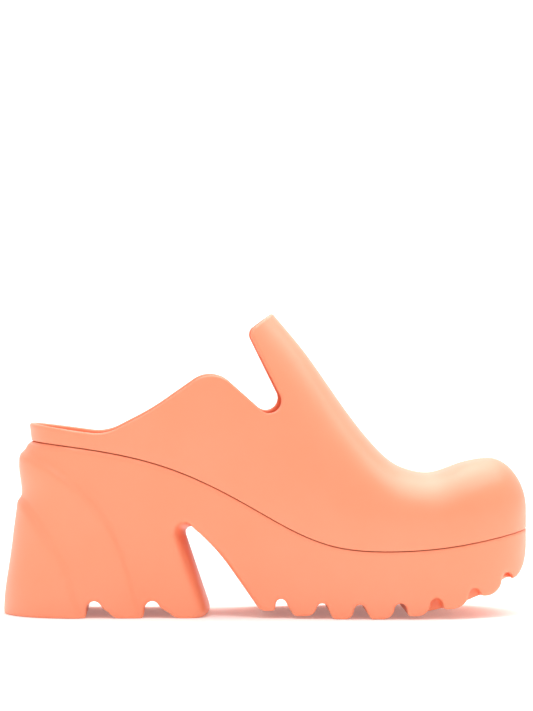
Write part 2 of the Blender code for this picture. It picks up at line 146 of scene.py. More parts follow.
def ridgeHeight(along):
    box = sections["box"](along) * shoe["toeBoxRise"]
    instep = sections["instep"](along) * (shoe["tongueRise"] - shoe["toeBoxRise"])
    level = widestHeight(along)
    nose = roundEnd((1 - along) * shoe["lastLength"], shoe["toeNose"])
    return level + (shoe["platformHeight"] + box + instep - level) * nose


def stations(middle, ends):  # places along the last, closer together at its round ends
    heel = shoe["heelRound"] / shoe["lastLength"]
    toe = shoe["toeRound"] / shoe["lastLength"]
    turn = np.pi / 2 * np.arange(ends) / ends
    body = np.linspace(heel, 1 - toe, middle + 1)
    return np.concatenate([heel * (1 - np.cos(turn)), body, (1 - toe * (1 - np.cos(turn)))[::-1]])


def srgb(code):  # the linear colour of an sRGB hex code
    parts = [int(code[i:i + 2], 16) / 255 for i in (0, 2, 4)]
    return [c / 12.92 if c <= 0.04045 else ((c + 0.055) / 1.055) ** 2.4 for c in parts] + [1]


def addNode(tree, kind, links=(), **settings):
    # one node: settings are its properties, or its sockets by number or name in "inputs"
    node = tree.nodes.new(kind)
    for name, value in settings.pop("inputs", {}).items():
        node.inputs[name].default_value = value
    for name, value in settings.items():
        setattr(node, name, value)
    for socket, source in links:
        tree.links.new(source, node.inputs[socket])
    return node


def meshObject(name, points, faces, material=None):
    mesh = bpy.data.meshes.new(name)
    mesh.from_pydata([tuple(p) for p in points], [], faces)
    if material:
        mesh.materials.append(material)
    made = bpy.data.objects.new(name, mesh)
    bpy.context.scene.collection.objects.link(made)
    return made


def settled(thing, name):  # the object's evaluated mesh as a plain one
    bpy.context.view_layer.update()
    graph = bpy.context.evaluated_depsgraph_get()
    mesh = bpy.data.meshes.new_from_object(thing.evaluated_get(graph))
    mesh.name = name
    return mesh


def vertexArray(mesh):
    flat = np.empty(len(mesh.vertices) * 3)
    mesh.vertices.foreach_get("co", flat)
    return flat.reshape(-1, 3)


# Injection-moulded rubber: a satin skin with a soft, wide highlight and a faint pebble from
# the mould's blasted face. Light goes a millimetre or two in, which warms the shaded sides.
rubberLook = {
    "colour": "FF966E", "pale": "FF9F7B", "roughness": 0.40, "spread": 0.05,
    "patchSize": 45 * mm, "pebbleSize": 0.7 * mm, "pebbleDepth": 0.02 * mm,
    "specular": 0.5, "softness": 0.10, "softReach": 2.0 * mm,
}


def mouldedRubber(name, look):
    material = bpy.data.materials.new(name)
    material.use_nodes = True
    tree = material.node_tree
    shader = tree.nodes["Principled BSDF"]
    place = addNode(tree, "ShaderNodeTexCoord").outputs["Object"]
    # slow drift of the pigment over the moulding
    patches = addNode(tree, "ShaderNodeTexNoise", [("Vector", place)],
                      inputs={"Scale": 1 / look["patchSize"], "Detail": 3.0, "Roughness": 0.5})
    tint = addNode(tree, "ShaderNodeMix", [("Factor", patches.outputs["Fac"])], data_type="RGBA",
                   inputs={6: srgb(look["colour"]), 7: srgb(look["pale"])})
    tree.links.new(tint.outputs[2], shader.inputs["Base Color"])
    # handling leaves the satin a little uneven
    rubbed = addNode(tree, "ShaderNodeTexNoise", [("Vector", place)],
                     inputs={"Scale": 1 / (12 * mm), "Detail": 4.0, "Roughness": 0.6})
    satin = addNode(tree, "ShaderNodeMapRange", [("Value", rubbed.outputs["Fac"])],
                    inputs={"To Min": look["roughness"] - look["spread"],
                            "To Max": look["roughness"] + look["spread"]})
    tree.links.new(satin.outputs["Result"], shader.inputs["Roughness"])
    # the blasted mould's pebble, drawn coarser than the real 0.1 mm so that it shows
    pebble = addNode(tree, "ShaderNodeTexNoise", [("Vector", place)],
                     inputs={"Scale": 1 / look["pebbleSize"], "Detail": 2.0, "Roughness": 0.6})
    bump = addNode(tree, "ShaderNodeBump", [("Height", pebble.outputs["Fac"])],
                   inputs={"Strength": 0.25, "Distance": look["pebbleDepth"]})
    tree.links.new(bump.outputs["Normal"], shader.inputs["Normal"])
    shader.inputs["IOR"].default_value = 1.5
    shader.inputs["Specular IOR Level"].default_value = look["specular"]
    shader.inputs["Subsurface Weight"].default_value = look["softness"]
    shader.inputs["Subsurface Radius"].default_value = (1.0, 0.45, 0.25)
    shader.inputs["Subsurface Scale"].default_value = look["softReach"]
    material.diffuse_color = srgb(look["colour"])
    return material


upperRubber = mouldedRubber("mouldedRubberUpper", rubberLook)
soleRubber = mouldedRubber("mouldedRubberSole", rubberLook)
footbedRubber = mouldedRubber("mouldedFoamFootbed", {
    **rubberLook, "colour": "F08A62", "pale": "F49670", "roughness": 0.62,
    "pebbleSize": 1.1 * mm, "pebbleDepth": 0.05 * mm, "specular": 0.35})
cutFace = bpy.data.materials.new("cutFace")  # marks what a cut leaves, and is deleted again


def prismTree():  # sweeps a side-view outline across the shoe, into a closed cutter
    tree = bpy.data.node_groups.new("outlineAcrossShoe", "GeometryNodeTree")
    face = tree.interface
    face.new_socket("Outline", in_out="INPUT", socket_type="NodeSocketGeometry")
    depth = face.new_socket("Half Depth", in_out="INPUT", socket_type="NodeSocketFloat")
    slot = face.new_socket("Material", in_out="INPUT", socket_type="NodeSocketMaterial")
    face.new_socket("Cutter", in_out="OUTPUT", socket_type="NodeSocketGeometry")
    given = addNode(tree, "NodeGroupInput").outputs
    line = addNode(tree, "GeometryNodeMeshToCurve", [("Mesh", given["Outline"])])
    sheet = addNode(tree, "GeometryNodeFillCurve", [("Curve", line.outputs["Curve"])], mode="NGONS")
    whole = addNode(tree, "ShaderNodeMath", [(0, given["Half Depth"])], operation="MULTIPLY",
                    inputs={1: 2.0})
    pulled = addNode(tree, "GeometryNodeExtrudeMesh", [
        ("Mesh", sheet.outputs["Mesh"]), ("Offset Scale", whole.outputs[0])],
        inputs={"Individual": False})
    back = addNode(tree, "GeometryNodeFlipFaces", [("Mesh", sheet.outputs["Mesh"])])
    both = addNode(tree, "GeometryNodeJoinGeometry")
    tree.links.new(pulled.outputs["Mesh"], both.inputs[0])
    tree.links.new(back.outputs["Mesh"], both.inputs[0])
    closed = addNode(tree, "GeometryNodeMergeByDistance", [
        ("Geometry", both.outputs["Geometry"])], inputs={"Distance": 1e-6})
    upright = addNode(tree, "GeometryNodeTransform", [("Geometry", closed.outputs["Geometry"])],
                      inputs={"Rotation": (math.pi / 2, 0, 0)})
    shift = addNode(tree, "ShaderNodeCombineXYZ", [("Y", given["Half Depth"])])
    centred = addNode(tree, "GeometryNodeTransform", [
        ("Geometry", upright.outputs["Geometry"]), ("Translation", shift.outputs[0])])
    real = addNode(tree, "GeometryNodeRealizeInstances", [
        ("Geometry", centred.outputs["Geometry"])])
    coated = addNode(tree, "GeometryNodeSetMaterial", [
        ("Geometry", real.outputs["Geometry"]), ("Material", given["Material"])])
    addNode(tree, "NodeGroupOutput", [(0, coated.outputs["Geometry"])])
    return tree, depth.identifier, slot.identifier


acrossTree, depthSocket, slotSocket = prismTree()


def acrossShoe(name, outline, material, halfDepth=0.09):
    count = len(outline)
    mesh = bpy.data.meshes.new(name)
    ring = [(i, (i + 1) % count) for i in range(count)]
    mesh.from_pydata([(x, z, 0) for x, z in outline], ring, [])
    made = bpy.data.objects.new(name, mesh)
    bpy.context.scene.collection.objects.link(made)
    sweep = made.modifiers.new("sweep", "NODES")
    sweep.node_group = acrossTree
    sweep[depthSocket] = halfDepth
    sweep[slotSocket] = material
    made.data = settled(made, name)
    made.modifiers.clear()
    bm = bmesh.new()
    bm.from_mesh(made.data)
    bmesh.ops.recalc_face_normals(bm, faces=bm.faces)
    bm.to_mesh(made.data)
    bm.free()
    return made


def cutAway(target, cutters, operation="DIFFERENCE"):
    for cutter in cutters:
        cut = target.modifiers.new(cutter.name, "BOOLEAN")
        cut.operation = operation
        cut.solver = "EXACT"
        cut.material_mode = "TRANSFER"
        cut.object = cutter
    target.data = settled(target, target.name)
    target.modifiers.clear()
    for cutter in cutters:
        bpy.data.objects.remove(cutter)


def rounded(corners, step):  # the line through (x, z, radius) corners with round corners
    points = []
    for i, (x, z, radius) in enumerate(corners):
        if radius == 0:
            points.append((x, z))
            continue
        before, after = corners[i - 1], corners[i + 1]
        start = math.atan2(before[1] - z, before[0] - x)
        end = math.atan2(after[1] - z, after[0] - x)
        opening = (end - start + math.pi) % (2 * math.pi) - math.pi
        bisector = start + opening / 2
        reach = radius / math.sin(abs(opening) / 2)
        cx, cz = x + reach * math.cos(bisector), z + reach * math.sin(bisector)
        turn = math.pi - abs(opening)
        steps = max(2, math.ceil(turn * radius / step))
        for k in range(steps + 1):
            lean = math.copysign(turn, opening) * (0.5 - k / steps)
            angle = bisector + math.pi + lean
            points.append((cx + radius * math.cos(angle), cz + radius * math.sin(angle)))
    return points


print("stage: tables and cutters ready")

# Upper: a dense skin over the last, cut by the collar's line, then given its wall and rims
upperLook = {
    "wall": 3.0 * mm, "footRound": 0.45 * mm, "partingGap": 0.30 * mm,
    "middle": 120, "ends": 26, "above": 52, "below": 9, "rimSteps": 8, "backLean": 1.1 * mm,
}
collarCorners = (  # along, pitch, strip, wing, tongue, radius
    (-0.105, 1.000, 1.50, 0.000, 0.000, 0.0),
    (0.149, 0.912, 1.03, 0.000, 0.000, 0.0250),
    (0.241, 0.810, 0.00, 0.450, 0.000, 0.1200),
    (0.365, 0.585, 0.00, 1.036, 0.000, 0.0150),
    (0.553, 0.000, 0.00, 0.000, 0.418, 0.0065),
    (0.437, 0.000, 0.00, 0.000, 0.928, 0.0050),
    (0.588, 0.000, 0.00, 0.000, 1.170, 0.0),
)


def collarLine():  # points of the collar's outline and the way out of the rubber there
    corners = [(xAt(along),
                shoe["platformHeight"] + pitch * (shoe["seatHeight"] - shoe["platformHeight"])
                + strip * shoe["heelStrip"] + wing * shoe["wingRise"] + tongue * shoe["tongueRise"],
                radius) for along, pitch, strip, wing, tongue, radius in collarCorners]
    points = np.array(rounded(corners, 0.8 * mm))
    way = np.gradient(points, axis=0)
    way /= np.linalg.norm(way, axis=1)[:, None]
    return points, np.stack([-way[:, 1], way[:, 0]], axis=1)


def upperGrid(look):
    alongs = stations(look["middle"], look["ends"])
    foot = seamHeight(alongs) + look["partingGap"] + look["footRound"]
    widest, ridge = widestHeight(alongs)[:, None], ridgeHeight(alongs)[:, None]
    power = 2 / sections["fullness"](alongs)[:, None]
    turn = np.linspace(0, np.pi / 2, look["above"] + 1)[None, :]
    share = 1 - np.arange(look["below"])[None, :] / look["below"]
    low = widest + (foot[:, None] - widest) * share
    high = widest + (ridge - widest) * np.sin(turn) ** power
    height = np.hstack([low, high])
    sides = []
    for side in ("lateral", "medial"):
        width = halfWidth(side, alongs)[:, None]
        tuck = shoe["featherTuck"] * share**2 * np.minimum(1, width / shoe["toeRound"])
        sides.append(np.hstack([width - tuck, width * np.cos(turn) ** power]))
    across = np.hstack([-sides[0], sides[1][:, -2::-1]])
    height = np.hstack([height, height[:, -2::-1]])
    # the strip round the heel leans back a little towards its rim
    climb = np.clip((height - seamHeight(alongs)[:, None]) / shoe["heelStrip"], 0, 1.5)
    lean = look["backLean"] * climb * np.clip(1 - alongs / 0.09, 0, 1)[:, None] ** 2
    x = xAt(alongs)[:, None] - lean
    return np.stack([x + 0 * across, across, height], axis=2)


def gridNormals(grid):
    alongWay, aroundWay = np.gradient(grid, axis=0), np.gradient(grid, axis=1)
    normals = np.cross(alongWay, aroundWay)
    size = np.linalg.norm(normals, axis=2)[:, :, None]
    normals /= np.maximum(size, 1e-15)
    normals[0], normals[-1] = (-1, 0, 0), (1, 0, 0)
    return normals


def boundaryLoops(bm):
    left = {edge for edge in bm.edges if edge.is_boundary}
    loops = []
    while left:
        edge = left.pop()
        first, vert = edge.verts
        loop = [first, vert]
        while True:
            onward = next((e for e in vert.link_edges if e in left), None)
            if onward is None:
                break
            left.discard(onward)
            vert = onward.other_vert(vert)
            if vert is first:
                break
            loop.append(vert)
        loops.append(loop)
    return loops


def buildUpper(look):
    grid = upperGrid(look)
    normals = gridNormals(grid)
    rows, columns = grid.shape[:2]
    bm = bmesh.new()
    verts = [[bm.verts.new(point) for point in ring] for ring in grid]
    for a, b in zip(verts, verts[1:]):
        for j in range(columns - 1):
            bm.faces.new((a[j], b[j], b[j + 1], a[j + 1]))
        bm.faces.new((b[0], a[0], a[-1], b[-1])).material_index = 1
    bmesh.ops.remove_doubles(bm, verts=bm.verts, dist=1e-5)
    bmesh.ops.dissolve_degenerate(bm, edges=bm.edges, dist=1e-6)
    bmesh.ops.recalc_face_normals(bm, faces=bm.faces)
    mesh = bpy.data.meshes.new("upperMoulding")
    bm.to_mesh(mesh)
    bm.free()
    mesh.materials.append(upperRubber)
    mesh.materials.append(cutFace)
    upper = bpy.data.objects.new("upperMoulding", mesh)
    bpy.context.scene.collection.objects.link(upper)

    radius = look["wall"] / 2
    line, outward = collarLine()
    inner = line - outward * radius
    top = shoe["platformHeight"] + 2 * shoe["tongueRise"]
    closed = [tuple(p) for p in inner] + [(inner[-1][0], top), (inner[0][0], top)]
    cutAway(upper, [acrossShoe("collarCutter", closed, cutFace)])

    marked = [i for i, slot in enumerate(upper.data.materials) if slot == cutFace]
    bm = bmesh.new()
    bm.from_mesh(upper.data)
    gone = [face for face in bm.faces if face.material_index in marked]
    bmesh.ops.delete(bm, geom=gone, context="FACES")
    bmesh.ops.remove_doubles(bm, verts=bm.verts, dist=0.12 * mm)
    bmesh.ops.dissolve_degenerate(bm, edges=bm.edges, dist=0.05 * mm)
    stray = [v for v in bm.verts if not v.link_faces]
    bmesh.ops.delete(bm, geom=stray, context="VERTS")

    # the skin's true normals come from the form, so that highlights stay clean at the cuts
    tree = kdtree.KDTree(rows * columns)
    flatNormals = normals.reshape(-1, 3)
    for i, point in enumerate(grid.reshape(-1, 3)):
        tree.insert(point, i)
    tree.balance()

    def formNormal(point):
        total = np.zeros(3)
        for _, index, distance in tree.find_n(point, 4):
            total += flatNormals[index] / (distance + 0.05 * mm)
        return total / np.linalg.norm(total)

    bm.verts.ensure_lookup_table()
    skin = list(bm.verts)
    skinFaces = list(bm.faces)
    outNormal = {v: formNormal(v.co) for v in skin}
    facing = dict(outNormal)
    loops = boundaryLoops(bm)
    print("stage: upper skin", len(skin), "points, rims", [len(loop) for loop in loops])
    inside = {v: bm.verts.new(np.array(v.co) - look["wall"] * outNormal[v]) for v in skin}
    facing.update({inside[v]: -outNormal[v] for v in skin})
    for face in skinFaces:
        bm.faces.new([inside[v] for v in reversed(face.verts)])
    for loop in loops:
        heights = [v.co.z - float(seamHeight(alongAt(v.co.x))) for v in loop]
        isFoot = max(heights) < 2 * mm
        grown = []
        for v in loop:
            point, n = np.array(v.co), outNormal[v]
            if isFoot:
                m = np.array((0.0, 0.0, -1.0))
            else:
                nearest = np.argmin(((inner - point[[0, 2]]) ** 2).sum(1))
                m = np.array((outward[nearest][0], 0.0, outward[nearest][1]))
            b = m - m.dot(n) * n
            b /= np.linalg.norm(b)
            column = []
            if isFoot:
                r = look["footRound"]
                profile = [(r * (1 - math.cos(t)), r * math.sin(t), math.cos(t), math.sin(t))
                           for t in np.linspace(0, math.pi / 2, 5)[1:]]
                profile += [(look["wall"], r, 0.0, 1.0)]
            else:
                turn = np.linspace(0, math.pi, look["rimSteps"] + 1)[1:-1]
                profile = [(radius * (1 - math.cos(t)), radius * math.sin(t),
                            math.cos(t), math.sin(t)) for t in turn]
            for inward, along, facingOut, facingOn in profile:
                column.append(bm.verts.new(point - inward * n + along * b))
                facing[column[-1]] = facingOut * n + facingOn * b
            grown.append([v] + column + [inside[v]])
        for a, b in zip(grown, grown[1:] + grown[:1]):
            for k in range(len(a) - 1):
                bm.faces.new((a[k], b[k], b[k + 1], a[k + 1]))
    bmesh.ops.recalc_face_normals(bm, faces=bm.faces)
    for face in bm.faces:
        face.smooth = True
        face.material_index = 0
    pointNormals = [tuple(facing[v]) for v in bm.verts]
    bm.to_mesh(upper.data)
    bm.free()
    upper.data.materials.clear()
    upper.data.materials.append(upperRubber)
    upper.data.normals_split_custom_set_from_vertices(pointNormals)
    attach(upper, "root")
    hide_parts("upper")
    return upper


buildUpper(upperLook)
print("stage: upper made")

# Sole: one moulding. Its wall follows the last and flares down to the heel's foot, two
# shingles step out of it, and the arch and the tread are cut from below. A fine remesh and
# a relaxed surface then round every edge as the mould does.
soleLook = {
    "backFlare": 0.0104, "sideFlare": 0.0045, "shingleStep": 0.0021, "shingleSoft": 2.2 * mm,
    "lip": 0.15, "lipReach": 5.0 * mm,
    # the arch seen from the side: corners in the part's own frame
    "heelFoot": -28.4 * mm, "crownFoot": 7.5 * mm, "crownTop": 24.1 * mm, "crownPower": 2.5,
    "archCorner": (-47.0 * mm, 55.4 * mm), "archRadius": 3.2 * mm, "wallRadius": 8.6 * mm,
    "archFlare": 28.1 * mm,
    "archBend": (-24.4 * mm, 31.5 * mm), "bendRadius": 120 * mm, "forefootFoot": -2.2 * mm,
    "forefootFlare": 1.3 * mm, "footBevel": 3.0 * mm,
    "notchWidth": 6.0 * mm, "notchDepth": 7.7 * mm, "heelNotchWidth": 8.0 * mm,
    "heelNotchDepth": 8.8 * mm, "treadLift": 19.1 * mm, "toeUndercut": 21.0 * mm,
    "floorGap": 0.3 * mm, "below": 10 * mm,
    "coreStart": 0.775, "coreInset": 9.0 * mm, "coreTop": 27 * mm,
    "grain": 1.08 * mm, "relax": 5, "topRound": 0.7 * mm, "topZone": 3.0 * mm,
}
heelWall = curves(
    "down back side",
    (0.000, 0.000, 0.00), (0.022, 0.200, 0.16), (0.060, 0.350, 0.25), (0.130, 0.440, 0.30),
    (0.200, 0.400, 0.34), (0.290, 0.300, 0.40), (0.440, 0.420, 0.50), (0.670, 0.680, 0.72),
    (0.900, 0.960, 0.95), (1.000, 1.000, 1.00),
)
shingleEdges = (  # along in last lengths, height in seats
    curves("along height", (-0.200, 1.020), (-0.020, 0.950), (0.031, 0.881), (0.093, 0.754),
           (0.150, 0.566), (0.185, 0.354), (0.209, 0.131), (0.224, -0.050)),
    curves("along height", (-0.200, 0.900), (-0.030, 0.720), (0.007, 0.614), (0.045, 0.445),
           (0.077, 0.267), (0.096, 0.073), (0.106, -0.050)),
)
lugs = (  # the flat foot from start to end, its lift in tread lifts, the notch after it
    (0.471, 0.489, 0.194, 0.499), (0.524, 0.546, 0.063, 0.580), (0.601, 0.623, 0.000, 0.654),
    (0.676, 0.694, 0.000, 0.734), (0.749, 0.764, 0.073, 0.805), (0.818, 0.835, 0.267, 0.881),
    (0.895, 0.905, 0.592, 0.951), (0.957, 0.961, 1.000, 1.000),
)
heelNotches = ((0.129, 0.176), (0.244, 0.298))


def soleOutline(places):  # the last's outline at the seam: along, x, y, and the way out
    along = np.concatenate([places, places[-2:0:-1]])
    y = np.concatenate([-halfWidth("lateral", places), halfWidth("medial", places)[-2:0:-1]])
    tuck = shoe["featherTuck"] * np.minimum(1, np.abs(y) / shoe["toeRound"])
    y = y - np.sign(y) * tuck
    x = xAt(along)
    dx, dy = np.roll(x, -1) - np.roll(x, 1), np.roll(y, -1) - np.roll(y, 1)
    size = np.hypot(dx, dy)
    return along, x, y, dy / size, -dx / size


def wallOffset(along, down, nx):  # how far the heel's wall stands out of the last's outline
    down = np.clip(down, 0, 1)
    back = heelWall["back"](down) * soleLook["backFlare"]
    side = heelWall["side"](down) * soleLook["sideFlare"]
    facing = np.maximum(0.0, -nx) ** 2
    return (side + (back - side) * facing) * ease((0.47 - along) / 0.20)


def shinglesAt(x, z):  # how far both shingles have stepped out at a place on the wall
    total = 0 * x
    for edge in shingleEdges:
        along = alongAt(x)
        height = edge["height"](along) * shoe["seatHeight"]
        slope = (edge["height"](along + 0.004) - edge["height"](along - 0.004)) \
            * shoe["seatHeight"] / (0.008 * shoe["lastLength"])
        below = (height - z) / np.sqrt(1 + slope**2)
        inReach = ease((0.235 - along) / 0.02)
        # the plate is thickest along its edge and eases off behind it
        lip = 1 + soleLook["lip"] * np.exp(-np.maximum(below, 0) / soleLook["lipReach"])
        total = total + ease(below / soleLook["shingleSoft"] + 0.25) * lip * inReach
    return total * soleLook["shingleStep"]


def wallPoints(loop, down):  # one row of the wall, all the way round
    along, x, y, nx, ny = loop
    z = seamHeight(along) * (1 - down)
    out = wallOffset(along, down, nx)
    for _ in range(3):
        stepped = out + shinglesAt(x + nx * out, z)
    return np.stack([x + nx * stepped, y + ny * stepped, z], axis=1)


def soleBlock():
    loop = soleOutline(stations(130, 26))
    downs = np.concatenate([[0, 0.006, 0.012, 0.02], np.linspace(0.03, 1.0, 72), [1.08]])
    rows = [wallPoints(loop, down) for down in downs]
    count = len(rows[0])
    points = np.concatenate(rows)
    faces = []
    for r in range(len(rows) - 1):
        for i in range(count):
            j = (i + 1) % count
            faces.append((r * count + j, r * count + i, (r + 1) * count + i, (r + 1) * count + j))
    for start in (0, (len(rows) - 1) * count):
        for i in range(count // 2):
            corners = [start + i, start + i + 1,
                       start + (count - i - 1) % count, start + (count - i) % count]
            corners = list(dict.fromkeys(corners))
            if len(corners) > 2:
                faces.append(tuple(corners))
    block = meshObject("soleMoulding", points, faces, soleRubber)
    bm = bmesh.new()
    bm.from_mesh(block.data)
    bmesh.ops.remove_doubles(bm, verts=bm.verts, dist=1e-6)
    bmesh.ops.recalc_face_normals(bm, faces=bm.faces)
    bm.to_mesh(block.data)
    bm.free()
    return block


def archCutter(look):  # wider towards both walls, so that the heel's front is crowned
    heelHalf = shoe["seatWidth"] / 2 + 0.9 * look["sideFlare"] + 1.8 * mm
    shares = np.sin(np.linspace(-np.pi / 2, np.pi / 2, 61))
    shares = np.concatenate([[-1.35], shares, [1.35]])
    cornerX, cornerZ = look["archCorner"]
    bendX, bendZ = look["archBend"]
    rings = []
    for share in shares:
        across = min(1.0, abs(share))
        flare = 1 - (1 - across ** look["crownPower"]) ** (1 / look["crownPower"])
        foot = look["heelFoot"] - look["crownFoot"] * flare
        topX = cornerX - look["crownTop"] * flare
        topZ = cornerZ + look["archFlare"] * flare
        lean = (topX - foot) / topZ
        bevel = look["footBevel"]
        fore = look["forefootFlare"] * flare
        corners = [
            (foot - bevel, -10 * mm, 0), (foot - bevel, 0, 0), (foot + lean * bevel, bevel, 0),
            (topX, topZ, look["archRadius"] + (look["wallRadius"] - look["archRadius"]) * flare),
            (bendX + fore, bendZ + fore, look["bendRadius"]),
            (look["forefootFoot"] + fore, 0, 0),
            (look["forefootFoot"] + fore + 7 * mm, -10 * mm, 0)]
        rings.append([(x, share * heelHalf, z) for x, z in rounded(corners, 0.7 * mm)])
    count = min(len(ring) for ring in rings)
    rings = [resampled(ring, count) for ring in rings]
    points = [p for ring in rings for p in ring]
    faces = [(r * count + i, r * count + (i + 1) % count, (r + 1) * count + (i + 1) % count,
              (r + 1) * count + i) for r in range(len(rings) - 1) for i in range(count)]
    faces += [tuple(range(count)), tuple(range((len(rings) - 1) * count, len(rings) * count))]
    made = meshObject("archCutter", points, faces, cutFace)
    bm = bmesh.new()
    bm.from_mesh(made.data)
    bmesh.ops.recalc_face_normals(bm, faces=bm.faces)
    bm.to_mesh(made.data)
    bm.free()
    return made


def resampled(ring, count):  # a ring with the arc's extra points dropped from its middle
    extra = len(ring) - count
    middle = len(ring) // 2
    return ring[:middle - extra // 2] + ring[middle - extra // 2 + extra:]


def quarter(start, end, steps):  # a convex quarter ellipse, level at start, upright at end
    return [(start[0] + (end[0] - start[0]) * math.sin(math.pi / 2 * k / steps),
             start[1] + (end[1] - start[1]) * (1 - math.cos(math.pi / 2 * k / steps)))
            for k in range(1, steps + 1)]


def notchCap(middle, top, radius, steps=16):
    angles = [math.pi * (1 - k / steps) for k in range(steps + 1)]
    return [(middle + radius * math.cos(a), top - radius + radius * math.sin(a)) for a in angles]


def treadLine(look):  # what is cut away under the forefoot
    radius = look["notchWidth"] / 2
    lifts = [lug[2] * look["treadLift"] for lug in lugs]
    flats = [lift if lift > 0 else -look["floorGap"] for lift in lifts]
    first = xAt(lugs[0][0])
    points = [(first - look["below"], -look["below"]), (first - look["below"], flats[0])]
    for i, (start, end, _, notch) in enumerate(lugs):
        points += [(xAt(start), flats[i]), (xAt(end), flats[i])]
        if i == len(lugs) - 1:
            points += quarter(points[-1], (xAt(1), flats[i] + look["toeUndercut"]), 20)
            break
        top = (lifts[i] + lifts[i + 1]) / 2 + look["notchDepth"]
        points += quarter(points[-1], (xAt(notch) - radius, top - radius), 10)
        points += notchCap(xAt(notch), top, radius)[1:]
    beyond = xAt(1) + look["below"]
    return points + [(beyond, points[-1][1]), (beyond, -look["below"])]


def toeCore(look):  # the notches at the toe end in the rubber instead of running through
    places = np.concatenate([np.linspace(look["coreStart"], 0.97, 60),
                             1 - 0.03 * (1 - np.sin(np.linspace(0, np.pi / 2, 20)[1:]))])
    along, x, y, nx, ny = soleOutline(places)
    count = len(places)
    # lateral side out to the tip, then the medial side back, without the missing heel end
    x, y = x - nx * look["coreInset"], y - ny * look["coreInset"]
    keep = list(range(1, count)) + list(range(count, 2 * count - 2))
    x, y = x[keep], y[keep]
    lift = smoothCurve([(lug[0] + lug[1]) / 2 for lug in lugs], [lug[2] for lug in lugs])
    low = lift(alongAt(x)) * look["treadLift"] + 0.4 * mm
    points = np.concatenate([np.stack([x, y, low], axis=1),
                             np.stack([x, y, 0 * x + look["coreTop"]], axis=1)])
    total = len(x)
    faces = [(i, (i + 1) % total, total + (i + 1) % total, total + i) for i in range(total)]
    for base in (0, total):
        for i in range(total // 2):
            corners = [base + i, base + i + 1, base + total - 2 - i, base + total - 1 - i]
            corners = list(dict.fromkeys(corners))
            if len(corners) > 2:
                faces.append(tuple(corners))
    core = meshObject("toeCore", points, faces, soleRubber)
    bm = bmesh.new()
    bm.from_mesh(core.data)
    bmesh.ops.recalc_face_normals(bm, faces=bm.faces)
    bm.to_mesh(core.data)
    bm.free()
    return core


def heelNotchLine(look, middle, foot, steps=14):
    radius = look["heelNotchWidth"] / 2
    cap = notchCap(xAt(middle), look["heelNotchDepth"], radius)
    (x, z), end = cap[-1], xAt(foot)
    slope = [(x + (end - x) * k / steps, z - (z + look["floorGap"]) * float(ease(k / steps)))
             for k in range(1, steps + 1)]
    return [(cap[0][0], -look["below"])] + cap + slope + [(end, -look["below"])]


def relaxed(points, edges, rounds):  # each point moves half way to its neighbours' middle
    a, b = edges[:, 0], edges[:, 1]
    degree = np.bincount(a, minlength=len(points)) + np.bincount(b, minlength=len(points))
    for _ in range(rounds):
        total = np.stack([np.bincount(a, weights=points[b, k], minlength=len(points))
                          + np.bincount(b, weights=points[a, k], minlength=len(points))
                          for k in range(3)], axis=1)
        points = points + 0.5 * (total / degree[:, None] - points)
    return points


def crispTop(points, look):  # brings the edge at the parting line to its true small radius
    along, x, y, nx, ny = soleOutline(stations(700, 160))
    tree = kdtree.KDTree(len(x))
    for i in range(len(x)):
        tree.insert((x[i], y[i], 0), i)
    tree.balance()
    zone, r = look["topZone"], look["topRound"]
    depth = seamHeight(alongAt(points[:, 0])) - points[:, 2]
    for v in np.nonzero(depth < zone)[0]:
        px, py, _ = points[v]
        _, i, _ = tree.find((px, py, 0))
        seamZ = float(seamHeight(along[i]))
        out = (px - x[i]) * nx[i] + (py - y[i]) * ny[i]
        t = depth[v]
        wall = float(wallOffset(along[i], t / seamZ, nx[i]))
        e = wall - out
        if e > zone or e < -zone:
            points[v, 2] += t if t < 0.5 * zone else 0
            continue
        ax, az = e - zone, t - zone
        # where the ray from inside meets the wall, the top or the small arc between
        best = min([-zone / away for away in (ax, az) if away < 0], default=1.0)
        qe, qt = zone + ax * best, zone + az * best
        if qe < r and qt < r:
            cx = zone - r
            square, middle = ax * ax + az * az, 2 * cx * (ax + az)
            rest = 2 * cx * cx - r * r
            inRoot = max(0.0, middle * middle - 4 * square * rest)
            best = (-middle + math.sqrt(inRoot)) / (2 * square)
            qe, qt = zone + ax * best, zone + az * best
        out = float(wallOffset(along[i], max(0.0, qt) / seamZ, nx[i])) - qe
        points[v] = (x[i] + nx[i] * out, y[i] + ny[i] * out, seamZ - qt)
    return points


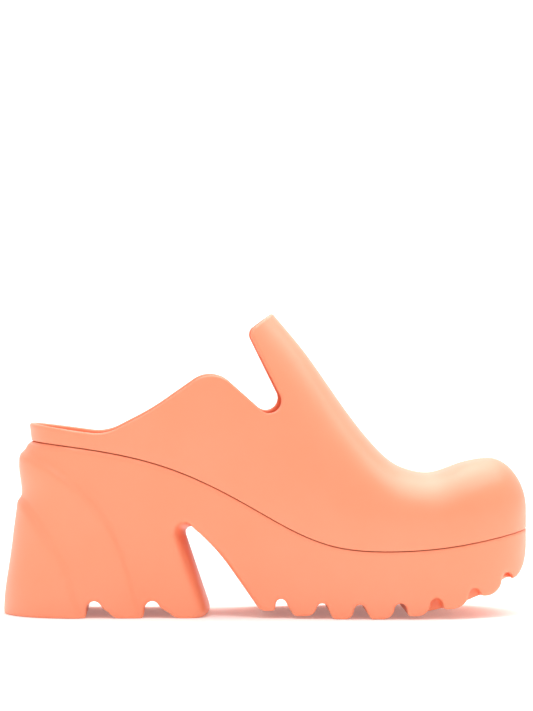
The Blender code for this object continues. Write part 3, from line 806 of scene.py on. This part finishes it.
def buildSole(look):
    sole = soleBlock()
    reach = shoe["lastLength"]
    floorLine = [(-reach, 0), (reach, 0), (reach, -50 * mm), (-reach, -50 * mm)]
    cutters = [archCutter(look), acrossShoe("treadCutter", treadLine(look), cutFace)]
    cutters += [acrossShoe("heelNotchCutter", heelNotchLine(look, *notch), cutFace)
                for notch in heelNotches]
    cutters.append(acrossShoe("floorCutter", floorLine, cutFace))
    cutAway(sole, cutters)
    print("stage: sole cut,", len(sole.data.polygons), "faces")
    core = toeCore(look)
    bm = bmesh.new()
    bm.from_mesh(sole.data)
    bm.from_mesh(core.data)
    bm.to_mesh(sole.data)
    bm.free()
    bpy.data.objects.remove(core)
    remesh = sole.modifiers.new("remesh", "REMESH")
    remesh.mode = "VOXEL"
    remesh.voxel_size = look["grain"]
    sole.data = settled(sole, "soleMoulding")
    sole.modifiers.clear()
    mesh = sole.data
    points = vertexArray(mesh)
    edges = np.empty(len(mesh.edges) * 2, int)
    mesh.edges.foreach_get("vertices", edges)
    edges = edges.reshape(-1, 2)
    points = relaxed(points, edges, look["relax"])
    points = crispTop(points, look)
    sunk = points[:, 2].min()  # relaxing lifts the feet a little: they go back to the floor
    points[:, 2] -= sunk * np.clip(1 - points[:, 2] / (8 * mm), 0, 1)
    mesh.vertices.foreach_set("co", points.ravel())
    mesh.materials.clear()
    mesh.materials.append(soleRubber)
    mesh.polygons.foreach_set("material_index", np.zeros(len(mesh.polygons), int))
    mesh.polygons.foreach_set("use_smooth", np.ones(len(mesh.polygons), bool))
    mesh.update()
    print("stage: sole remeshed,", len(mesh.polygons), "faces")
    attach(sole, "root")
    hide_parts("sole")
    return sole


buildSole(soleLook)
print("stage: sole made")

# Footbed: a plate that lies on the sole inside the upper, bent to the seam's line
footbedLook = {"thickness": 3.0 * mm, "inset": 3.6 * mm, "lift": 0.3 * mm, "edgeRound": 0.8 * mm}


def footbedTree():
    tree = bpy.data.node_groups.new("footbedPlate", "GeometryNodeTree")
    face = tree.interface
    face.new_socket("Top Face", in_out="INPUT", socket_type="NodeSocketGeometry")
    thick = face.new_socket("Thickness", in_out="INPUT", socket_type="NodeSocketFloat")
    slot = face.new_socket("Material", in_out="INPUT", socket_type="NodeSocketMaterial")
    face.new_socket("Plate", in_out="OUTPUT", socket_type="NodeSocketGeometry")
    given = addNode(tree, "NodeGroupInput").outputs
    drop = addNode(tree, "ShaderNodeMath", [(0, given["Thickness"])], operation="MULTIPLY",
                   inputs={1: -1.0})
    down = addNode(tree, "ShaderNodeCombineXYZ", [("Z", drop.outputs[0])])
    lowered = addNode(tree, "GeometryNodeExtrudeMesh", [
        ("Mesh", given["Top Face"]), ("Offset", down.outputs[0])],
        inputs={"Offset Scale": 1.0, "Individual": False})
    both = addNode(tree, "GeometryNodeJoinGeometry")
    tree.links.new(lowered.outputs["Mesh"], both.inputs[0])
    tree.links.new(given["Top Face"], both.inputs[0])
    closed = addNode(tree, "GeometryNodeMergeByDistance", [
        ("Geometry", both.outputs["Geometry"])], inputs={"Distance": 1e-6})
    real = addNode(tree, "GeometryNodeRealizeInstances", [("Geometry", closed.outputs["Geometry"])])
    smooth = addNode(tree, "GeometryNodeSetShadeSmooth", [("Geometry", real.outputs["Geometry"])])
    coated = addNode(tree, "GeometryNodeSetMaterial", [
        ("Geometry", smooth.outputs["Geometry"]), ("Material", given["Material"])])
    addNode(tree, "NodeGroupOutput", [(0, coated.outputs["Geometry"])])
    return tree, thick.identifier, slot.identifier


def buildFootbed(look):
    along, x, y, nx, ny = soleOutline(stations(110, 22))
    count = len(x)
    rings = []
    # from the rim, which is rounded over, in to the middle
    for t in np.linspace(0, math.pi / 2, 5):
        inset = look["inset"] + look["edgeRound"] * (1 - math.cos(t))
        top = look["lift"] + look["thickness"] - look["edgeRound"] * (1 - math.sin(t))
        px, py = x - nx * inset, y - ny * inset
        rings.append(np.stack([px, py, seamHeight(alongAt(px)) + top], axis=1))
    points = np.concatenate(rings)
    faces = [(r * count + i, r * count + (i + 1) % count, (r + 1) * count + (i + 1) % count,
              (r + 1) * count + i) for r in range(len(rings) - 1) for i in range(count)]
    start = (len(rings) - 1) * count
    for i in range(count // 2):
        corners = [start + i, start + i + 1,
                   start + (count - i - 1) % count, start + (count - i) % count]
        corners = list(dict.fromkeys(corners))
        if len(corners) > 2:
            faces.append(tuple(corners))
    plate = meshObject("footbed", points, faces, footbedRubber)
    tree, thick, slot = footbedTree()
    grow = plate.modifiers.new("plate", "NODES")
    grow.node_group = tree
    grow[thick] = look["thickness"] - look["edgeRound"]
    grow[slot] = footbedRubber
    plate.data = settled(plate, "footbed")
    plate.modifiers.clear()
    bm = bmesh.new()
    bm.from_mesh(plate.data)
    bmesh.ops.remove_doubles(bm, verts=bm.verts, dist=1e-6)
    bmesh.ops.recalc_face_normals(bm, faces=bm.faces)
    bm.to_mesh(plate.data)
    bm.free()
    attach(plate, "root")
    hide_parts("insole")
    return plate


buildFootbed(footbedLook)
print("stage: footbed made")

# Studio: a white sweep, a big soft light overhead and to the right, and an even fill
studio = {
    "floor": "FBFAF9", "floorGlow": 0.16, "world": 0.62, "distance": 1.7, "yaw": -1.6, "height": 0.150,
    "aim": 0.1348, "lens": 163.8,
}


def softbox(name, place, target, size, power):
    light = bpy.data.lights.new(name, "AREA")
    light.shape = "RECTANGLE"
    light.size, light.size_y = size
    light.energy = power
    made = bpy.data.objects.new(name, light)
    made.location = place
    way = Vector(target) - Vector(place)
    made.rotation_euler = way.to_track_quat("-Z", "Y").to_euler()
    bpy.context.scene.collection.objects.link(made)
    return made


def buildStudio(look):
    paper = bpy.data.materials.new("paperSweep")
    paper.use_nodes = True
    shader = paper.node_tree.nodes["Principled BSDF"]
    shader.inputs["Base Color"].default_value = srgb(look["floor"])
    shader.inputs["Roughness"].default_value = 0.9
    shader.inputs["Specular IOR Level"].default_value = 0.1
    # the paper is lit from below as well, which keeps the shadows on it faint
    shader.inputs["Emission Color"].default_value = (1, 1, 1, 1)
    shader.inputs["Emission Strength"].default_value = look["floorGlow"]
    half = 4.0
    line = [(-3.0, 0.0), (2.0, 0.0)]
    line += [(2.0 + 1.5 * math.sin(t), 1.5 - 1.5 * math.cos(t))
             for t in np.linspace(0, math.pi / 2, 17)[1:]]
    line += [(3.5, 4.0)]
    points = [(side * half, y, z) for y, z in line for side in (-1, 1)]
    faces = [(2 * i, 2 * i + 1, 2 * i + 3, 2 * i + 2) for i in range(len(line) - 1)]
    sweep = meshObject("paperSweep", points, faces, paper)
    sweep.data.shade_smooth()
    world = bpy.data.worlds.new("studio")
    world.use_nodes = True
    sky = world.node_tree.nodes["Background"]
    sky.inputs["Color"].default_value = (1, 1, 1, 1)
    sky.inputs["Strength"].default_value = look["world"]
    bpy.context.scene.world = world
    softbox("overhead", (0.35, 0.45, 1.25), (0.05, 0, 0.06), (1.7, 1.3), 20)
    softbox("backdrop", (0, 1.2, 1.7), (0, 3.2, 0.7), (2.0, 0.8), 40)
    softbox("frontTop", (-0.35, -0.55, 1.5), (0, 0, 0.07), (0.5, 0.5), 7)
    camera = bpy.data.cameras.new("camera")
    camera.lens = look["lens"]
    camera.sensor_width = 36.0
    made = bpy.data.objects.new("camera", camera)
    yaw = math.radians(look["yaw"])
    made.location = (look["distance"] * math.sin(yaw), -look["distance"] * math.cos(yaw),
                     look["height"])
    way = Vector((0, 0, look["aim"])) - made.location
    made.rotation_euler = way.to_track_quat("-Z", "Y").to_euler()
    bpy.context.scene.collection.objects.link(made)
    bpy.context.scene.camera = made
    bpy.context.scene.view_settings.view_transform = "Standard"


buildStudio(studio)
print("stage: studio made")
